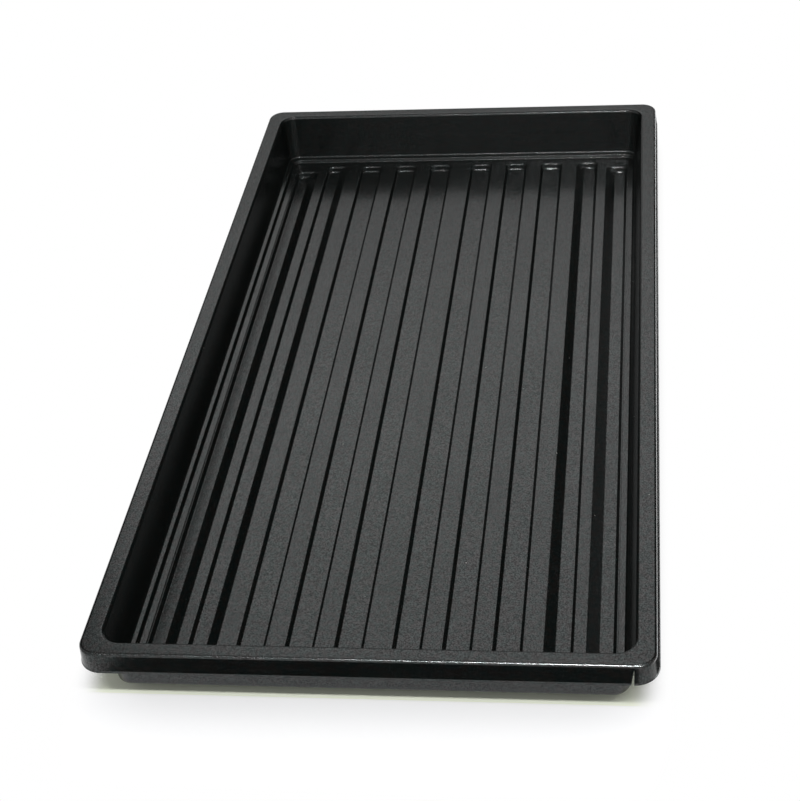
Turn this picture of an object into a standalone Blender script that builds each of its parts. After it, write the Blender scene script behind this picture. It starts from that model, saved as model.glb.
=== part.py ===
"""Microgreen growing tray: one shallow pan, formed from a single plastic sheet.

Metres, +Z up. The tray stands on the undersides of its grooves at z = 0, centred
on the origin, with its long side along Y and the split in its skirt at the front right.
"""
import math

import bmesh
import bpy
from mathutils import Vector

# Overall sizes
TRAY_LENGTH = 0.540            # along Y, over the trimmed lip
TRAY_WIDTH = 0.279             # along X, over the trimmed lip
TRAY_HEIGHT = 0.0381           # groove undersides to rim top
SHEET_THICKNESS = 0.0009

# Rim and skirt
RIM_FLAT_WIDTH = 0.0053
RIM_OUTER_RADIUS = 0.0017      # flat to skirt, in section
RIM_INNER_RADIUS = 0.0022      # flat to wall, in section
RIM_CORNER_RADIUS = 0.012      # of the flat's outer edge, in plan
SKIRT_HEIGHT = 0.0119          # rim top to trimmed edge
SKIRT_LEAN = 0.0003            # how far the skirt spreads on its way down
LIP_REACH = 0.0005
LIP_HEIGHT = 0.0008

# Pan
WALL_CORNER_RADIUS = 0.0095    # of the wall's top, in plan
WALL_LEAN = 0.0023             # how far the wall draws in on its way down
WALL_BASE_RADIUS = 0.0020      # wall to ledge, in section
LEDGE_WIDTH = 0.0016
STEP_HEIGHT = 0.0016           # ledge to floor
STEP_RUN = 0.0016
FLOOR_CORNER_RADIUS = 0.0055

# Grooves pressed down into the floor
GROOVE_WIDTH = 0.0146          # at the floor
GROOVE_DEPTH = 0.0024
GROOVE_SIDE_RUN = 0.0018       # plan width of a groove's steep side wall
GROOVE_SLOPE_RUN = 0.0060      # of the gentle inner wall of the grooves near the side walls
GROOVE_END_RUN = 0.0037
GROOVE_CORNER_RADIUS = 0.0030
GROOVE_BOTTOM_CORNER_RADIUS = 0.0024
SLOPED_GROOVES = 2             # how many on each half have the gentle wall
CENTRE_LAND_WIDTH = 0.0148
LAND_WIDTH = 0.0104            # between grooves, shared out to fit the floor
OUTER_LAND_WIDTH = 0.0064      # beside the outermost groove
EDGE_LAND_WIDTH = 0.0040       # outermost groove to the step
END_LAND_WIDTH = 0.0046        # groove ends to the step
OUTER_GROOVE_SETBACK = 0.0066  # how much shorter the outermost groove is at each end

# Split in the skirt, open at the trimmed edge
SPLIT_WIDTH = 0.0013
SPLIT_TIP_WIDTH = 0.0002
SPLIT_TIP_DROP = 0.0024        # rim top to the split's tip
SPLIT_FROM_SIDE = 0.0125       # from the lip's right side to the split
SPLIT_SLANT = 0.0011           # how far the tip lies towards the corner

# Facets
CORNER_SEGMENTS = 6
SECTION_SEGMENTS = 3
GROOVE_CORNER_SEGMENTS = 3
SHARP_FOLD_DEGREES = 35        # folds steeper than this are shaded as edges
FULLEST_CORNER = 0.95          # most of a side's half that a plan corner may take up
SHEET_MERGE_DISTANCE = 0.00001

# The flat's outer edge is the reference that insets are measured from.
SKIRT_REACH = RIM_OUTER_RADIUS + SKIRT_LEAN + LIP_REACH
HALF_WIDTH = TRAY_WIDTH / 2 - SKIRT_REACH
HALF_LENGTH = TRAY_LENGTH / 2 - SKIRT_REACH
FLOOR_Z = SHEET_THICKNESS + GROOVE_DEPTH
LEDGE_Z = FLOOR_Z + STEP_HEIGHT
WALL_TOP_INSET = RIM_FLAT_WIDTH + RIM_INNER_RADIUS
LEDGE_INSET = WALL_TOP_INSET + WALL_LEAN + WALL_BASE_RADIUS
FLOOR_INSET = LEDGE_INSET + LEDGE_WIDTH + STEP_RUN


def clear_scene():
    for item in list(bpy.data.objects):
        bpy.data.objects.remove(item, do_unlink=True)


def make_collection(name):
    collection = bpy.data.collections.new(name)
    bpy.context.scene.collection.children.link(collection)
    return collection


def make_material(name, colour, roughness):
    material = bpy.data.materials.new(name)
    material.use_nodes = True
    shader = material.node_tree.nodes["Principled BSDF"]
    shader.inputs["Base Color"].default_value = (*colour, 1.0)
    shader.inputs["Roughness"].default_value = roughness
    shader.inputs["Metallic"].default_value = 0.0
    return material


def link_mesh(bm, name, collection):
    mesh = bpy.data.meshes.new(name)
    bm.to_mesh(mesh)
    bm.free()
    item = bpy.data.objects.new(name, mesh)
    collection.objects.link(item)
    return item


def arc(centre, radius, start, end, segments):
    """Points of a section's rounded fold, as (inset, z), with angles in degrees."""
    points = []
    for step in range(segments + 1):
        angle = math.radians(start + (end - start) * step / segments)
        inset = centre[0] + radius * math.cos(angle)
        points.append((inset, centre[1] + radius * math.sin(angle)))
    return points


def section_points():
    """The sheet's top face from the trimmed lip over the rim and down to the floor."""
    skirt_inset = -RIM_OUTER_RADIUS - SKIRT_LEAN
    lip = [
        (skirt_inset - LIP_REACH, TRAY_HEIGHT - SKIRT_HEIGHT),
        (skirt_inset, TRAY_HEIGHT - SKIRT_HEIGHT + LIP_HEIGHT),
    ]
    outer_fold = arc((0.0, TRAY_HEIGHT - RIM_OUTER_RADIUS), RIM_OUTER_RADIUS, 180, 90, SECTION_SEGMENTS)
    inner_fold = arc(
        (RIM_FLAT_WIDTH, TRAY_HEIGHT - RIM_INNER_RADIUS), RIM_INNER_RADIUS, 90, 0, SECTION_SEGMENTS
    )
    base_fold = arc((LEDGE_INSET, LEDGE_Z + WALL_BASE_RADIUS), WALL_BASE_RADIUS, 180, 270, SECTION_SEGMENTS)
    step = [(LEDGE_INSET + LEDGE_WIDTH, LEDGE_Z), (FLOOR_INSET, FLOOR_Z)]
    return lip + outer_fold + inner_fold + base_fold + step


def corner_radius(inset):
    """The plan radius of the sheet's corners at an inset, tighter towards the floor."""
    if inset <= 0:
        return RIM_CORNER_RADIUS - inset
    if inset <= WALL_TOP_INSET:
        share = inset / WALL_TOP_INSET
        return RIM_CORNER_RADIUS + (WALL_CORNER_RADIUS - RIM_CORNER_RADIUS) * share
    share = (inset - WALL_TOP_INSET) / (FLOOR_INSET - WALL_TOP_INSET)
    return WALL_CORNER_RADIUS + (FLOOR_CORNER_RADIUS - WALL_CORNER_RADIUS) * share


def ring_points(centre, half_x, half_y, radius, z, segments):
    """Points round a rectangle with rounded corners, anticlockwise from above."""
    radius = min(radius, half_x * FULLEST_CORNER, half_y * FULLEST_CORNER)
    points = []
    for corner, (side_x, side_y) in enumerate(((1, 1), (-1, 1), (-1, -1), (1, -1))):
        for step in range(segments + 1):
            angle = math.pi / 2 * (corner + step / segments)
            x = centre[0] + side_x * (half_x - radius) + radius * math.cos(angle)
            y = centre[1] + side_y * (half_y - radius) + radius * math.sin(angle)
            points.append(Vector((x, y, z)))
    return points


def new_ring(bm, points):
    verts = [bm.verts.new(point) for point in points]
    for a, b in zip(verts, verts[1:] + verts[:1]):
        bm.edges.new((a, b))
    return verts


def ring_edges(bm, ring):
    return [bm.edges.get(pair) for pair in zip(ring, ring[1:] + ring[:1])]


def extrude_ring(bm, ring, points):
    """Carries the sheet on from one ring to the next, point by point."""
    made = bmesh.ops.extrude_edge_only(bm, edges=ring_edges(bm, ring))["geom"]
    new_verts = {item for item in made if isinstance(item, bmesh.types.BMVert)}
    following = []
    for vert, point in zip(ring, points):
        partner = next(
            edge.other_vert(vert) for edge in vert.link_edges if edge.other_vert(vert) in new_verts
        )
        partner.co = point
        following.append(partner)
    return following


def groove_places():
    """Centre x of each groove on the right half, from the middle outwards."""
    floor_half = HALF_WIDTH - FLOOR_INSET
    outermost = floor_half - EDGE_LAND_WIDTH - GROOVE_WIDTH / 2
    inner_end = outermost - GROOVE_WIDTH / 2 - OUTER_LAND_WIDTH
    space = inner_end - CENTRE_LAND_WIDTH / 2
    count = max(1, round((space + LAND_WIDTH) / (GROOVE_WIDTH + LAND_WIDTH)))
    pitch = (space - GROOVE_WIDTH) / max(1, count - 1)
    inner = [inner_end - GROOVE_WIDTH / 2 - pitch * index for index in reversed(range(count))]
    return inner + [outermost]


def add_groove(bm, centre_x, inner_run, shorter):
    """Presses one groove into the floor and returns its rim, which the floor is filled up to."""
    top_half_y = HALF_LENGTH - FLOOR_INSET - END_LAND_WIDTH - shorter
    bottom_width = GROOVE_WIDTH - GROOVE_SIDE_RUN - inner_run
    bottom_x = centre_x + math.copysign((inner_run - GROOVE_SIDE_RUN) / 2, centre_x)
    rim = new_ring(bm, ring_points(
        (centre_x, 0.0), GROOVE_WIDTH / 2, top_half_y, GROOVE_CORNER_RADIUS, FLOOR_Z, GROOVE_CORNER_SEGMENTS
    ))
    foot = extrude_ring(bm, rim, ring_points(
        (bottom_x, 0.0), bottom_width / 2, top_half_y - GROOVE_END_RUN,
        GROOVE_BOTTOM_CORNER_RADIUS, SHEET_THICKNESS, GROOVE_CORNER_SEGMENTS,
    ))
    bmesh.ops.contextual_create(bm, geom=ring_edges(bm, foot))
    return rim


def add_floor(bm, floor_ring):
    """Fills the floor between its edge and the rims of the grooves."""
    places = groove_places()
    edges = ring_edges(bm, floor_ring)
    for index, x in enumerate(places):
        sloped = index >= len(places) - SLOPED_GROOVES
        inner_run = GROOVE_SLOPE_RUN if sloped else GROOVE_SIDE_RUN
        shorter = OUTER_GROOVE_SETBACK if x == places[-1] else 0.0
        for side in (1, -1):
            edges += ring_edges(bm, add_groove(bm, side * x, inner_run, shorter))
    bmesh.ops.triangle_fill(bm, use_beauty=True, use_dissolve=False, edges=edges)


def make_tray_sheet(material, collection):
    """The whole pan as one open face of the sheet; Solidify gives it its thickness."""
    bm = bmesh.new()
    ring = None
    for inset, z in section_points():
        points = ring_points(
            (0.0, 0.0), HALF_WIDTH - inset, HALF_LENGTH - inset, corner_radius(inset), z, CORNER_SEGMENTS
        )
        ring = extrude_ring(bm, ring, points) if ring else new_ring(bm, points)
    add_floor(bm, ring)
    bmesh.ops.recalc_face_normals(bm, faces=bm.faces)
    tray = link_mesh(bm, "growing_tray", collection)
    tray.data.materials.append(material)
    tray.data.shade_smooth()
    tray.data.set_sharp_from_angle(angle=math.radians(SHARP_FOLD_DEGREES))
    thickness = tray.modifiers.new("sheet", "SOLIDIFY")
    thickness.thickness = SHEET_THICKNESS
    thickness.offset = -1.0
    thickness.use_even_offset = True
    thickness.solidify_mode = "NON_MANIFOLD"
    thickness.nonmanifold_thickness_mode = "CONSTRAINTS"
    thickness.nonmanifold_boundary_mode = "FLAT"
    thickness.nonmanifold_merge_threshold = SHEET_MERGE_DISTANCE
    return tray


def make_split_cutter(collection):
    """A wedge through the skirt at the front right corner, widest at the trimmed edge."""
    bottom_z = TRAY_HEIGHT - SKIRT_HEIGHT
    tip_z = TRAY_HEIGHT - SPLIT_TIP_DROP
    overshoot = SHEET_THICKNESS
    height = tip_z - bottom_z + overshoot
    inner_y = RIM_FLAT_WIDTH / 2 - HALF_LENGTH
    outer_y = -TRAY_LENGTH / 2 - overshoot
    centre_x = TRAY_WIDTH / 2 - SPLIT_FROM_SIDE
    bm = bmesh.new()
    corners = bmesh.ops.create_cube(bm, size=1.0)["verts"]
    bmesh.ops.scale(bm, vec=(SPLIT_WIDTH, outer_y - inner_y, height), verts=corners)
    tip = [vert for vert in corners if vert.co.z > 0]
    bmesh.ops.scale(bm, vec=(SPLIT_TIP_WIDTH / SPLIT_WIDTH, 1.0, 1.0), verts=tip)
    bmesh.ops.translate(bm, vec=(SPLIT_SLANT, 0.0, 0.0), verts=tip)
    place = Vector((centre_x, (inner_y + outer_y) / 2, tip_z - height / 2))
    bmesh.ops.translate(bm, vec=place, verts=corners)
    bmesh.ops.recalc_face_normals(bm, faces=bm.faces)
    cutter = link_mesh(bm, "split_cutter", collection)
    cutter.hide_render = True
    cutter.display_type = "WIRE"
    return cutter


def cut_away(target, cutter):
    cut = target.modifiers.new(cutter.name, "BOOLEAN")
    cut.operation = "DIFFERENCE"
    cut.solver = "EXACT"
    cut.object = cutter


clear_scene()
parts = make_collection("microgreen_growing_tray")
cutters = make_collection("cutters")
black_plastic = make_material("black_plastic", (0.012, 0.013, 0.013), 0.42)
tray = make_tray_sheet(black_plastic, parts)
cut_away(tray, make_split_cutter(cutters))
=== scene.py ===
import math

import bmesh
import bpy
from mathutils import Matrix, Vector


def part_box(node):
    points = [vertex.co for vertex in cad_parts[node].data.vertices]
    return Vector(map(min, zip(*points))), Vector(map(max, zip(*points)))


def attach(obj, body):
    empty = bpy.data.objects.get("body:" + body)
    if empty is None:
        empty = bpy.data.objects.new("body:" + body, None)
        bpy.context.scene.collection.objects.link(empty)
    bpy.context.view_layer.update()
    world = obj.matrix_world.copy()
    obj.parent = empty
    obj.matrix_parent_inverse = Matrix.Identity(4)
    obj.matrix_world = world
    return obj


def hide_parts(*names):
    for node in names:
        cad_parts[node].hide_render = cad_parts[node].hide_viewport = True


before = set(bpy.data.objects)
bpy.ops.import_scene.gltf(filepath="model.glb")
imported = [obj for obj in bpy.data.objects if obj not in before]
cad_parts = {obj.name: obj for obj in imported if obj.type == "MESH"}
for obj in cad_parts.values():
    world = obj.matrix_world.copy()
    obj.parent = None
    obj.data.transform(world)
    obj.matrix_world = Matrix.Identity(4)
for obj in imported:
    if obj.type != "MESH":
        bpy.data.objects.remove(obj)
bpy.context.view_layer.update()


def newObject(bm, name, material):
    mesh = bpy.data.meshes.new(name)
    bm.to_mesh(mesh)
    bm.free()
    mesh.materials.append(material)
    item = bpy.data.objects.new(name, mesh)
    bpy.context.scene.collection.objects.link(item)
    return item


def onlyVerts(made):
    return [item for item in made if isinstance(item, bmesh.types.BMVert)]


def onlyEdges(made):
    return [item for item in made if isinstance(item, bmesh.types.BMEdge)]


def ring(halfX, halfY, radius, z, centreX=0.0):
    # a rectangle with round corners, level at height z
    return {"halfX": halfX, "halfY": halfY, "radius": radius, "z": z, "centreX": centreX}


def startRing(bm, shape, segments):
    verts = bmesh.ops.create_grid(bm, x_segments=1, y_segments=1, size=1.0)["verts"]
    bmesh.ops.scale(bm, vec=(shape["halfX"], shape["halfY"], 1.0), verts=verts)
    bmesh.ops.translate(bm, vec=(shape["centreX"], 0.0, shape["z"]), verts=verts)
    rounded = bmesh.ops.bevel(bm, geom=verts, offset=shape["radius"], offset_type="OFFSET",
                              affect="VERTICES", segments=segments, profile=0.5, material=-1)["verts"]
    face = rounded[0].link_faces[0]
    edges = list(face.edges)
    bmesh.ops.delete(bm, geom=[face], context="FACES_ONLY")
    return edges


def extrudeRing(bm, edges, old, new):
    made = bmesh.ops.extrude_edge_only(bm, edges=edges)["geom"]
    corners = {(sideX, sideY): [] for sideX in (1, -1) for sideY in (1, -1)}
    for v in onlyVerts(made):
        corners[(1 if v.co.x > old["centreX"] else -1, 1 if v.co.y > 0 else -1)].append(v)
    grow = new["radius"] / old["radius"]
    for (sideX, sideY), verts in corners.items():
        oldCentre, newCentre = [
            Vector((shape["centreX"] + sideX * (shape["halfX"] - shape["radius"]),
                    sideY * (shape["halfY"] - shape["radius"]), shape["z"]))
            for shape in (old, new)
        ]
        bmesh.ops.scale(bm, vec=(grow, grow, 1.0), space=Matrix.Translation(-oldCentre), verts=verts)
        bmesh.ops.translate(bm, vec=newCentre - oldCentre, verts=verts)
    return onlyEdges(made)


def roundFold(bm, edges, offset, segments):
    bmesh.ops.bevel(bm, geom=edges, offset=offset, offset_type="OFFSET", affect="EDGES",
                    segments=segments, profile=0.5, material=-1, clamp_overlap=False)


# Pairs are (long sides, ends), and insets are measured in from the rim flat's outer edge.
traySizes = {
    "thickness": 0.0009,
    "skirtHeight": 0.0113, "skirtLean": 0.0009,
    "lipReach": 0.0005, "lipHeight": 0.0009, "lipFold": 0.0008,
    "outerFold": 0.0017, "innerFold": 0.0020,       # section radii either side of the rim's flat
    "rimFlat": (0.0064, 0.0053),
    "wallFoot": (0.0109, 0.0100),                   # insets of the wall's foot
    "wallFootShift": -0.0008,                       # the right wall leans in more than the left
    "ledgeEnd": (0.0130, 0.0129), "stepFoot": (0.0139, 0.0135),
    # Heights above the floor. A wallFootRise of 3.0 to 3.2 mm makes solidify throw spikes.
    "wallFootRise": 0.0033, "ledgeRise": 0.0026, "stepFootRise": 0.0005,
    "baseFold": 0.0014, "stepFold": 0.0008,
    "edgeRun": 0.0034, "edgeFold": 0.0020,          # the floor slopes gently down from the step
    "floorMargin": 0.0003,
    "rimCorner": 0.0065, "wallCorner": 0.0095, "floorCorner": 0.0055,       # plan radii
    "cornerSpread": 1.8,                            # radius that the skirt's corner gains per unit outwards
    "cornerSegments": 14, "foldSegments": 6,
    "sharpAngle": 40,                               # degrees
    "groove": {
        "width": 0.0146, "depth": 0.0024,
        "steepRun": 0.0012,                         # plan width of a side wall
        "gentleRuns": (0.0056, 0.0063),             # of the inner wall of the outermost two on each side
        "endSteps": ((0.38, 0.0006), (0.62, 0.0042), (1.0, 0.0049)),    # (share of the depth, run)
        "corner": 0.0036, "footCorner": 0.0030,
        "topFold": 0.0007, "endFold": 0.0004, "footFold": 0.0007,
        "centreLand": 0.0148, "land": 0.0104, "outerLand": 0.0064, "edgeLand": 0.0044, "endLand": 0.0054,
        "outerSetback": 0.0066,                     # how much shorter the outermost is at each end
        "margin": 0.0008,
        "cornerSegments": 8, "foldSegments": 4,
    },
    "split": {
        "width": 0.0014, "fromSide": 0.0128, "slant": 0.0007, "tipDrop": 0.0024,
        "margin": 0.0001, "cutTolerance": 1e-7,
    },
}

low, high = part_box("growing_tray")
skirtReach = traySizes["outerFold"] + traySizes["skirtLean"] + traySizes["lipReach"]
halfWidth = (high.x - low.x) / 2 - skirtReach       # to the outer edge of the rim's flat
halfLength = (high.y - low.y) / 2 - skirtReach
rimZ = high.z
floorZ = traySizes["thickness"] + traySizes["groove"]["depth"]


def planRadius(inset, wallTop, stepFoot):
    s = traySizes
    if inset <= 0:
        return s["rimCorner"] - inset * s["cornerSpread"]
    if inset <= wallTop:
        return s["rimCorner"] + (s["wallCorner"] - s["rimCorner"]) * inset / wallTop
    return s["wallCorner"] + (s["floorCorner"] - s["wallCorner"]) * (inset - wallTop) / (stepFoot - wallTop)


def sheetSection():
    # the section's corners as (inset at the sides, height, fold radius), from the trimmed lip to the floor
    s = traySizes
    skirt = -s["outerFold"] - s["skirtLean"]
    bottom = rimZ - s["skirtHeight"]
    wallTop = [flat + s["innerFold"] for flat in s["rimFlat"]]
    edgeEnd = [foot + s["edgeRun"] for foot in s["stepFoot"]]
    margin = [end + s["floorMargin"] for end in edgeEnd]
    stations = [
        ([skirt - s["lipReach"]] * 2, bottom, 0.0),
        ([skirt] * 2, bottom + s["lipHeight"], s["lipFold"]),
        ([-s["outerFold"]] * 2, rimZ, s["outerFold"]),
        (wallTop, rimZ, s["innerFold"]),
        (s["wallFoot"], floorZ + s["wallFootRise"], s["baseFold"]),
        (s["ledgeEnd"], floorZ + s["ledgeRise"], s["stepFold"]),
        (s["stepFoot"], floorZ + s["stepFootRise"], s["stepFold"]),
        (edgeEnd, floorZ, s["edgeFold"]),
        (margin, floorZ, 0.0),
    ]
    points = [(side, z, fold) for (side, _), z, fold in stations]
    rings = [ring(halfWidth - side, halfLength - end, planRadius(side, wallTop[0], s["stepFoot"][0]), z)
             for (side, end), z, _ in stations]
    wallFootRing = 4
    rings[wallFootRing]["centreX"] = s["wallFootShift"]
    return points, rings


def foldOffset(points, index):
    # how far back from a fold's corner its round starts
    before, here, after = [Vector(points[index + step][:2]) for step in (-1, 0, 1)]
    turn = (here - before).angle(after - here)
    return points[index][2] * math.tan(turn / 2)


def groovePlaces(sideInset):
    # centre x of the grooves on one half, from the middle outwards
    g = traySizes["groove"]
    outermost = halfWidth - sideInset - g["edgeLand"] - g["width"] / 2
    innerEnd = outermost - g["width"] / 2 - g["outerLand"]
    space = innerEnd - g["centreLand"] / 2
    count = round((space + g["land"]) / (g["width"] + g["land"]))
    pitch = (space - g["width"]) / (count - 1)
    return [innerEnd - g["width"] / 2 - pitch * step for step in reversed(range(count))] + [outermost]


def pressGroove(bm, centreX, innerRun, halfTop):
    g = traySizes["groove"]
    footWidth = g["width"] - g["steepRun"] - innerRun
    footX = centreX + math.copysign((innerRun - g["steepRun"]) / 2, centreX)
    margin = g["margin"]
    shapes = [
        ring(g["width"] / 2 + margin, halfTop + margin, g["corner"] + margin, floorZ, centreX),
        ring(g["width"] / 2, halfTop, g["corner"], floorZ, centreX),
    ]
    for share, run in g["endSteps"]:
        shapes.append(ring(
            (g["width"] + (footWidth - g["width"]) * share) / 2, halfTop - run,
            g["corner"] + (g["footCorner"] - g["corner"]) * share,
            floorZ - g["depth"] * share, centreX + (footX - centreX) * share))
    outer = startRing(bm, shapes[0], g["cornerSegments"])
    folds = [outer]
    for old, new in zip(shapes, shapes[1:]):
        folds.append(extrudeRing(bm, folds[-1], old, new))
    bmesh.ops.contextual_create(bm, geom=folds[-1])
    bmesh.ops.recalc_face_normals(bm, faces=bm.faces)
    steep = math.atan2(g["depth"], g["steepRun"])
    radii = [g["topFold"]] + [g["endFold"]] * (len(g["endSteps"]) - 1) + [g["footFold"]]
    for edges, radius in zip(folds[1:], radii):
        roundFold(bm, edges, radius * math.tan(steep / 2), g["foldSegments"])
    return outer


def cutSplit(bm):
    # two leaning cuts down the front skirt, and the sliver between them taken out
    s = traySizes["split"]
    skirtStart = -halfLength - s["margin"]
    tip = Vector((high.x - s["fromSide"] + s["slant"], low.y, rimZ - s["tipDrop"]))
    drop = tip.z - (rimZ - traySizes["skirtHeight"])
    flanks = []
    for side in (1, -1):
        foot = Vector((tip.x - s["slant"] + side * s["width"] / 2, low.y, tip.z - drop))
        along = tip - foot
        flanks.append(Vector((along.z, 0.0, -along.x)).normalized())
    for normal in flanks:
        near = [f for f in bm.faces if f.calc_center_median().y < skirtStart]
        geom = near + list({e for f in near for e in f.edges}) + list({v for f in near for v in f.verts})
        bmesh.ops.bisect_plane(bm, geom=geom, plane_co=tip, plane_no=normal, dist=s["cutTolerance"])
    gone = []
    for face in bm.faces:
        centre = face.calc_center_median()
        inWedge = (centre - tip).dot(flanks[0]) < 0 < (centre - tip).dot(flanks[1])
        if centre.y < skirtStart and centre.z < tip.z and inWedge:
            gone.append(face)
    bmesh.ops.delete(bm, geom=gone, context="FACES")


def makeTray(material):
    s = traySizes
    g = s["groove"]
    bm = bmesh.new()
    points, rings = sheetSection()
    edges = startRing(bm, rings[0], s["cornerSegments"])
    folds = []
    for old, new in zip(rings, rings[1:]):
        edges = extrudeRing(bm, edges, old, new)
        folds.append(edges)
    for index in range(1, len(points) - 1):
        roundFold(bm, folds[index - 1], foldOffset(points, index), s["foldSegments"])

    # the floor fills what the wall's foot and the grooves leave open
    floorEdges = list(folds[-1])
    sideInset, endInset = s["stepFoot"]
    places = groovePlaces(sideInset)
    innerRuns = [g["steepRun"]] * (len(places) - len(g["gentleRuns"])) + list(g["gentleRuns"])
    for x, innerRun in zip(places, innerRuns):
        setback = g["outerSetback"] if x == places[-1] else 0.0
        halfTop = halfLength - endInset - g["endLand"] - setback
        for side in (1, -1):
            floorEdges += pressGroove(bm, side * x, innerRun, halfTop)
    bmesh.ops.triangle_fill(bm, use_beauty=True, use_dissolve=False, edges=floorEdges)
    bmesh.ops.recalc_face_normals(bm, faces=bm.faces)
    middle = Vector((0, 0, floorZ))
    floorFace = min(bm.faces, key=lambda face: (face.calc_center_median() - middle).length)
    if floorFace.normal.z < 0:
        bmesh.ops.reverse_faces(bm, faces=bm.faces)

    cutSplit(bm)
    bmesh.ops.solidify(bm, geom=bm.faces[:], thickness=s["thickness"])
    print("tray sheet:", len(bm.verts), "verts,", len(bm.faces), "faces,",
          sum(not edge.is_manifold for edge in bm.edges), "open edges")
    tray = newObject(bm, "formedTray", material)
    tray.data.shade_smooth()
    tray.data.set_sharp_from_angle(angle=math.radians(s["sharpAngle"]))
    flats = tray.modifiers.new("flats", "WEIGHTED_NORMAL")
    flats.keep_sharp = True
    return tray


def newMaterial(name):
    material = bpy.data.materials.new(name)
    material.use_nodes = True
    return material, material.node_tree.nodes, material.node_tree.links


def addNoise(nodes, links, vector, scale, detail):
    noise = nodes.new("ShaderNodeTexNoise")
    noise.inputs["Scale"].default_value = scale
    noise.inputs["Detail"].default_value = detail
    links.new(vector, noise.inputs["Vector"])
    return noise.outputs["Fac"]


def addRange(nodes, links, value, fromRange, toRange=(0.0, 1.0)):
    node = nodes.new("ShaderNodeMapRange")
    node.interpolation_type = "SMOOTHSTEP"
    node.inputs["From Min"].default_value, node.inputs["From Max"].default_value = fromRange
    node.inputs["To Min"].default_value, node.inputs["To Max"].default_value = toRange
    links.new(value, node.inputs["Value"])
    return node.outputs["Result"]


def addMath(nodes, links, operation, first, second):
    node = nodes.new("ShaderNodeMath")
    node.operation = operation
    for socket, value in zip(node.inputs, (first, second)):
        if isinstance(value, float):
            socket.default_value = value
        else:
            links.new(value, socket)
    return node.outputs[0]


def addVectorMath(nodes, links, operation, first, second=None, output="Vector"):
    node = nodes.new("ShaderNodeVectorMath")
    node.operation = operation
    links.new(first, node.inputs[0])
    if second is not None:
        node.inputs[1].default_value = second
    return node.outputs[output]


def addMix(nodes, links, factor, first, second):
    node = nodes.new("ShaderNodeMix")
    node.data_type = "RGBA"
    links.new(factor, node.inputs["Factor"])
    for socket, value in ((node.inputs["A"], first), (node.inputs["B"], second)):
        if isinstance(value, tuple):
            socket.default_value = (*value, 1.0)
        else:
            links.new(value, socket)
    return node.outputs["Result"]


def addEmission(nodes, strength):
    card = nodes.new("ShaderNodeEmission")
    card.inputs["Color"].default_value = (1.0, 1.0, 1.0, 1.0)
    card.inputs["Strength"].default_value = strength
    return card.outputs[0]


# The noises are (scale, detail), and the ranges are what of a noise counts.
plasticLook = {
    "coolBlack": (0.0016, 0.0034, 0.0032), "warmBlack": (0.0034, 0.0032, 0.0026),
    "greenShine": (0.91, 1.00, 0.99), "warmShine": (0.99, 0.985, 0.99),
    "tint": (310.0, 1.0), "tintRange": (0.40, 0.60),
    "grain": (1450.0, 2.0), "grainHeight": 0.000003,
    "speck": (0.017, 0.018, 0.017), "speckRange": (0.60, 0.74),
    "ior": 1.50, "specularLevel": (0.23, 0.77), "shineRange": (0.32, 0.68),
    "roughness": (0.225, 0.260), "satinRange": (0.38, 0.62),
    "patch": (22.0, 3.0), "patchWeight": 0.7, "grainWeight": 0.3,
    "dust": (0.42, 0.41, 0.38), "dustRoughness": 0.75,
    "dustCells": 95.0, "dotRange": (0.018, 0.034), "dustyCells": (0.80, 0.82),
}


def makePlastic():
    look = plasticLook
    material, nodes, links = newMaterial("trayPlastic")
    shader = nodes["Principled BSDF"]
    place = nodes.new("ShaderNodeTexCoord").outputs["Object"]
    grain = addNoise(nodes, links, place, *look["grain"])
    patch = addNoise(nodes, links, place, *look["patch"])
    tint = addNoise(nodes, links, place, *look["tint"])

    # sparse dust: a small dot in a few of the cells
    cells = nodes.new("ShaderNodeTexVoronoi")
    cells.inputs["Scale"].default_value = look["dustCells"]
    links.new(place, cells.inputs["Vector"])
    dot = addRange(nodes, links, cells.outputs["Distance"], look["dotRange"], (1.0, 0.0))
    chosen = nodes.new("ShaderNodeTexWhiteNoise")
    links.new(cells.outputs["Position"], chosen.inputs["Vector"])
    few = addRange(nodes, links, chosen.outputs["Value"], look["dustyCells"])
    dust = addMath(nodes, links, "MULTIPLY", dot, few)

    # black that drifts between cool and warm, with paler specks on the grain's peaks
    warm = addRange(nodes, links, tint, look["tintRange"])
    black = addMix(nodes, links, warm, look["coolBlack"], look["warmBlack"])
    shineTint = addMix(nodes, links, warm, look["greenShine"], look["warmShine"])
    links.new(shineTint, shader.inputs["Specular Tint"])
    specks = addRange(nodes, links, grain, look["speckRange"])
    colour = addMix(nodes, links, dust, addMix(nodes, links, specks, black, look["speck"]), look["dust"])
    links.new(colour, shader.inputs["Base Color"])

    # satin, rougher in broad patches and a little with the grain, and dull where the dust lies
    uneven = addMath(nodes, links, "ADD", addMath(nodes, links, "MULTIPLY", patch, look["patchWeight"]),
                     addMath(nodes, links, "MULTIPLY", grain, look["grainWeight"]))
    satin = addRange(nodes, links, uneven, look["satinRange"], look["roughness"])
    dull = addMath(nodes, links, "MULTIPLY", dust, look["dustRoughness"])
    links.new(addMath(nodes, links, "MAXIMUM", satin, dull), shader.inputs["Roughness"])
    shine = addRange(nodes, links, grain, look["shineRange"], look["specularLevel"])
    links.new(shine, shader.inputs["Specular IOR Level"])
    shader.inputs["IOR"].default_value = look["ior"]

    bump = nodes.new("ShaderNodeBump")
    bump.inputs["Strength"].default_value = 1.0
    bump.inputs["Distance"].default_value = look["grainHeight"]
    links.new(grain, bump.inputs["Height"])
    links.new(bump.outputs["Normal"], shader.inputs["Normal"])
    return material


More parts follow.
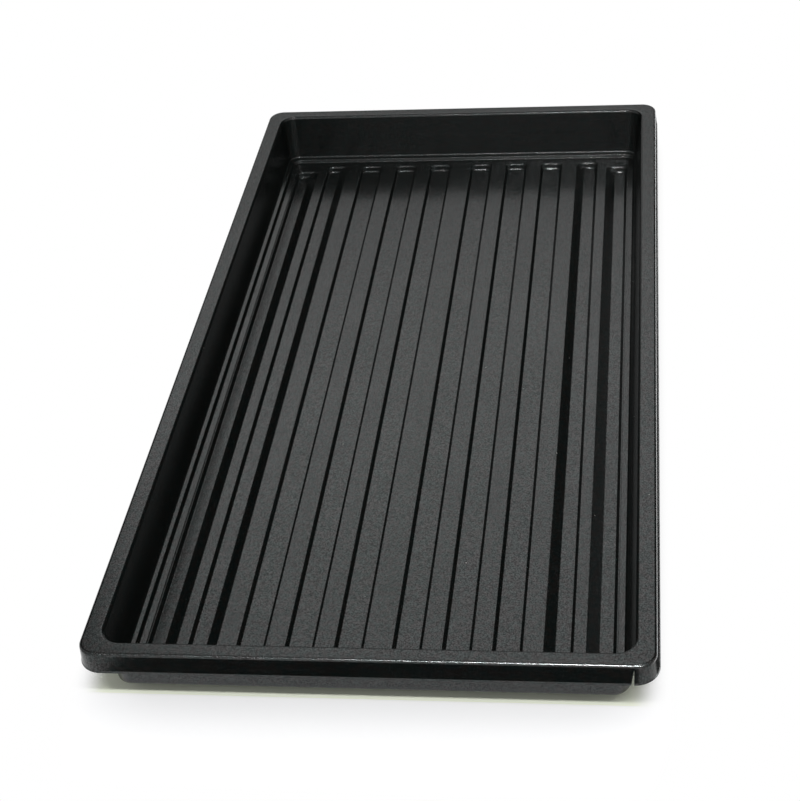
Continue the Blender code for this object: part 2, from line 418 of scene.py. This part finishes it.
# Distances run outwards from the tray's body, and the spreads stretch them along x and y.
stageLook = {
    "size": 6.0,
    "paper": (0.85, 0.85, 0.85),                    # as it lights the tray
    "seenPaper": (1.19, 1.19, 1.20),
    # painted contact shadow: from here up to the tray's foot the floor is seen darker and olive
    "shadedPaper": (0.98, 1.02, 0.86),              # up to the tray's foot
    "middle": (0.004, 0.0, 0.0), "bodyHalfSize": (0.1277, 0.2580, 0.0),
    "spread": (2.8, 1.0, 0.0), "whitening": (0.012, 0.060),
    # where the painted contact shadow fades out, stretched along x and y
    "paintedShadowSpread": (0.08, 1.0, 0.0), "paintedShadowFade": (0.0, 0.0013),
}


def seenRays(nodes, links):
    # 1 for rays from the camera, reflections and rays through clear things
    path = nodes.new("ShaderNodeLightPath")
    seen = addMath(nodes, links, "MAXIMUM", path.outputs["Is Camera Ray"], path.outputs["Is Glossy Ray"])
    return addMath(nodes, links, "MAXIMUM", seen, path.outputs["Is Transmission Ray"])


def makeFloor():
    look = stageLook
    bm = bmesh.new()
    bmesh.ops.create_grid(bm, x_segments=1, y_segments=1, size=look["size"])
    material, nodes, links = newMaterial("paleFloor")
    nodes.remove(nodes["Principled BSDF"])

    # distance from the tray's body, stretched so that the sides turn white sooner than the front
    place = nodes.new("ShaderNodeTexCoord").outputs["Object"]
    centred = addVectorMath(nodes, links, "ADD", place, look["middle"])
    mirrored = addVectorMath(nodes, links, "ABSOLUTE", centred)
    beyond = addVectorMath(nodes, links, "SUBTRACT", mirrored, look["bodyHalfSize"])
    outside = addVectorMath(nodes, links, "MAXIMUM", beyond, (0.0, 0.0, 0.0))
    distance, paintedShadowDistance = [
        addVectorMath(nodes, links, "LENGTH", addVectorMath(nodes, links, "MULTIPLY", outside, look[name]),
                      output="Value")
        for name in ("spread", "paintedShadowSpread")
    ]

    seen = seenRays(nodes, links)
    # painted contact shadow: the paper next to the tray's foot is seen darker and olive, fading to the
    # plain seen paper about 1.3 mm in front of the foot and more gently past its ends
    pastPaintedShadow = addRange(nodes, links, paintedShadowDistance, look["paintedShadowFade"])
    near = addMix(nodes, links, pastPaintedShadow, look["shadedPaper"], look["seenPaper"])
    diffuse = nodes.new("ShaderNodeBsdfDiffuse")
    links.new(addMix(nodes, links, seen, look["paper"], near), diffuse.inputs["Color"])
    clear = addRange(nodes, links, distance, look["whitening"])
    mix = nodes.new("ShaderNodeMixShader")
    links.new(addMath(nodes, links, "MULTIPLY", clear, seen), mix.inputs["Fac"])
    links.new(diffuse.outputs[0], mix.inputs[1])
    links.new(addEmission(nodes, 1.0), mix.inputs[2])
    links.new(mix.outputs[0], nodes["Material Output"].inputs["Surface"])
    floor = newObject(bm, "floor", material)


# Azimuths run from +Y towards +X in degrees, and the heights are the z of a mirrored direction.
lightPlan = {
    "room": 0.44,                                   # the room's soft light
    "backdropHeights": (0.499, 0.572), "backdrop": (0.42, 1.76),
    "topHeights": (0.58, 0.74), "topShare": (1.0, 0.80),
    "roomRadius": 4.0, "roomSegments": (72, 36),
    "darkRoom": 0.02, "softRoom": 0.55, "frontRoom": 1.3, "ceiling": 0.60,
    "backdropAzimuth": (-32.0, 14.0), "backdropElevation": (0.0, 66.0),
    "frontAzimuth": 140.0, "frontElevation": (2.0, 28.0),
    "softAzimuth": 75.0, "ceilingElevation": 66.0,
    "keyElevation": 63.0, "keyDistance": 1.6,
    "keyShift": 0.35, "keySize": (1.4, 0.06), "keyRadiance": 66.5,
    "glows": (                                      # name, x, size, radiance
        ("frontGlow", 0.58, (1.16, 0.12), 28.0),
        ("midGlow", -0.10, (0.20, 0.12), 5.0),
    ),
    "glowBeam": 40.0,
    "cardLift": 0.0004,
    "frontFlag": (0.013, 0.25),                     # from the tray's front
    "sideFlag": (-0.012, 0.050), "sideFlagStart": 0.022, "sideFlagPast": 0.05,      # from its right side
    "sideCard": 4.0, "sideCardReach": 0.6,
}


def reflectionOnly(item):
    # the camera, the floor's light and the shadows all pass through it
    item.visible_camera = False
    item.visible_diffuse = False
    item.visible_transmission = False
    item.visible_shadow = False
    return item


def cardMaterial(name, radiance):
    material, nodes, links = newMaterial(name)
    nodes.remove(nodes["Principled BSDF"])
    links.new(addEmission(nodes, radiance), nodes["Material Output"].inputs["Surface"])
    return material


def addFlag(name, material, start, end):
    # a card on the floor, between two corners, for the skirt facing it to mirror
    bm = bmesh.new()
    verts = bmesh.ops.create_grid(bm, x_segments=1, y_segments=1, size=0.5)["verts"]
    bmesh.ops.scale(bm, vec=(end[0] - start[0], end[1] - start[1], 1.0), verts=verts)
    centre = ((start[0] + end[0]) / 2, (start[1] + end[1]) / 2, lightPlan["cardLift"])
    bmesh.ops.translate(bm, vec=centre, verts=verts)
    reflectionOnly(newObject(bm, name, material))


def inside(value, bounds):
    return bounds[0] < value < bounds[1]


def addRoom(cards):
    # what the tray mirrors: a dark room, open to the white backdrop, with softer grey round the sides
    plan = lightPlan
    order = list(cards)
    bm = bmesh.new()
    aroundSegments, upSegments = plan["roomSegments"]
    bmesh.ops.create_uvsphere(bm, u_segments=aroundSegments, v_segments=upSegments,
                              radius=plan["roomRadius"])
    gone = []
    for face in bm.faces:
        centre = face.calc_center_median()
        azimuth = math.degrees(math.atan2(centre.x, centre.y))
        elevation = math.degrees(math.asin(centre.z / centre.length))
        atBackdrop = (inside(azimuth, plan["backdropAzimuth"])
                      and inside(elevation, plan["backdropElevation"]))
        if elevation < 0 or atBackdrop:
            gone.append(face)
        elif abs(azimuth) > plan["frontAzimuth"] and inside(elevation, plan["frontElevation"]):
            face.material_index = order.index("front")
        elif elevation > plan["ceilingElevation"]:
            face.material_index = order.index("ceiling")
        elif abs(azimuth) > plan["softAzimuth"]:
            face.material_index = order.index("soft")
    bmesh.ops.delete(bm, geom=gone, context="FACES")
    room = newObject(bm, "mirroredRoom", cards["dark"])
    for name in order[1:]:
        room.data.materials.append(cards[name])
    reflectionOnly(room)


def addPanel(name, place, aim, size, radiance):
    light = bpy.data.lights.new(name, "AREA")
    light.shape = "RECTANGLE"
    light.size, light.size_y = size
    light.energy = radiance * math.pi * size[0] * size[1]
    item = bpy.data.objects.new(name, light)
    item.location = place
    item.rotation_euler = (Vector(aim) - Vector(place)).to_track_quat("-Z", "Y").to_euler()
    item.visible_camera = False
    bpy.context.scene.collection.objects.link(item)
    return item


def makeWorld():
    # white where it is seen, and in reflections a backdrop that brightens with height
    world = bpy.data.worlds.new("room")
    bpy.context.scene.world = world
    world.use_nodes = True
    nodes = world.node_tree.nodes
    links = world.node_tree.links
    nodes.clear()
    path = nodes.new("ShaderNodeLightPath")
    seen = addMath(nodes, links, "MAXIMUM",
                   path.outputs["Is Camera Ray"], path.outputs["Is Transmission Ray"])
    way = nodes.new("ShaderNodeSeparateXYZ")
    links.new(nodes.new("ShaderNodeTexCoord").outputs["Generated"], way.inputs[0])
    rising = addRange(nodes, links, way.outputs["Z"], lightPlan["backdropHeights"], lightPlan["backdrop"])
    top = addRange(nodes, links, way.outputs["Z"], lightPlan["topHeights"], lightPlan["topShare"])
    backdrop = addMath(nodes, links, "MULTIPLY", rising, top)
    light = nodes.new("ShaderNodeBackground")
    mirrored = addMath(nodes, links, "MULTIPLY", path.outputs["Is Glossy Ray"], backdrop)
    strength = addMath(nodes, links, "MAXIMUM", seen, mirrored)
    links.new(addMath(nodes, links, "MAXIMUM", strength, lightPlan["room"]), light.inputs["Strength"])
    light.inputs["Color"].default_value = (1.0, 1.0, 1.0, 1.0)
    links.new(light.outputs[0], nodes.new("ShaderNodeOutputWorld").inputs["Surface"])


def makeLights():
    plan = lightPlan
    angle = math.radians(plan["keyElevation"])
    back = low.y - plan["keyDistance"] * math.cos(angle)
    height = plan["keyDistance"] * math.sin(angle)

    def overFront(name, x, size, radiance):
        return addPanel(name, (x, back, height), (x, low.y, 0.0), size, radiance)

    overFront("keyStrip", plan["keyShift"], plan["keySize"], plan["keyRadiance"]).visible_glossy = False
    for name, x, size, radiance in plan["glows"]:
        # lights nothing by itself, and is only mirrored as the bright line along the front fold
        glow = overFront(name, x, size, radiance)
        glow.visible_diffuse = False
        glow.data.spread = math.radians(plan["glowBeam"])

    dark = cardMaterial("darkCard", plan["darkRoom"])
    addRoom({
        "dark": dark,
        "soft": cardMaterial("softCard", plan["softRoom"]),
        "front": cardMaterial("frontCard", plan["frontRoom"]),
        "ceiling": cardMaterial("ceilingCard", plan["ceiling"]),
    })
    flagStart, flagEnd = plan["frontFlag"]
    addFlag("frontFlag", dark, (low.x, low.y - flagEnd), (high.x, low.y - flagStart))
    near, far = [high.x + step for step in plan["sideFlag"]]
    addFlag("sideFlag", dark, (near, low.y + plan["sideFlagStart"]), (far, high.y + plan["sideFlagPast"]))
    reach = plan["sideCardReach"]
    sideCard = cardMaterial("sideCard", plan["sideCard"])
    addFlag("sideCard", sideCard, (far, low.y), (far + reach, high.y + reach))


cameraPlan = {
    "place": (0.13418, -0.80412, 0.61146),
    "turn": (52.2038, 4.6720, 6.1201),              # degrees about x, y and z
    "lens": 75.67,
    "shiftX": -0.0275,
}


def makeCamera():
    camera = bpy.data.cameras.new("camera")
    camera.lens = cameraPlan["lens"]
    camera.shift_x = cameraPlan["shiftX"]
    item = bpy.data.objects.new("camera", camera)
    item.location = cameraPlan["place"]
    item.rotation_euler = [math.radians(angle) for angle in cameraPlan["turn"]]
    bpy.context.scene.collection.objects.link(item)
    bpy.context.scene.camera = item


makeCamera()
print("camera placed")
tray = makeTray(makePlastic())
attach(tray, "root")
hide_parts("growing_tray")
print("tray made")
makeFloor()
makeWorld()
makeLights()
bpy.context.scene.view_settings.view_transform = "Standard"
print("stage and lights made")
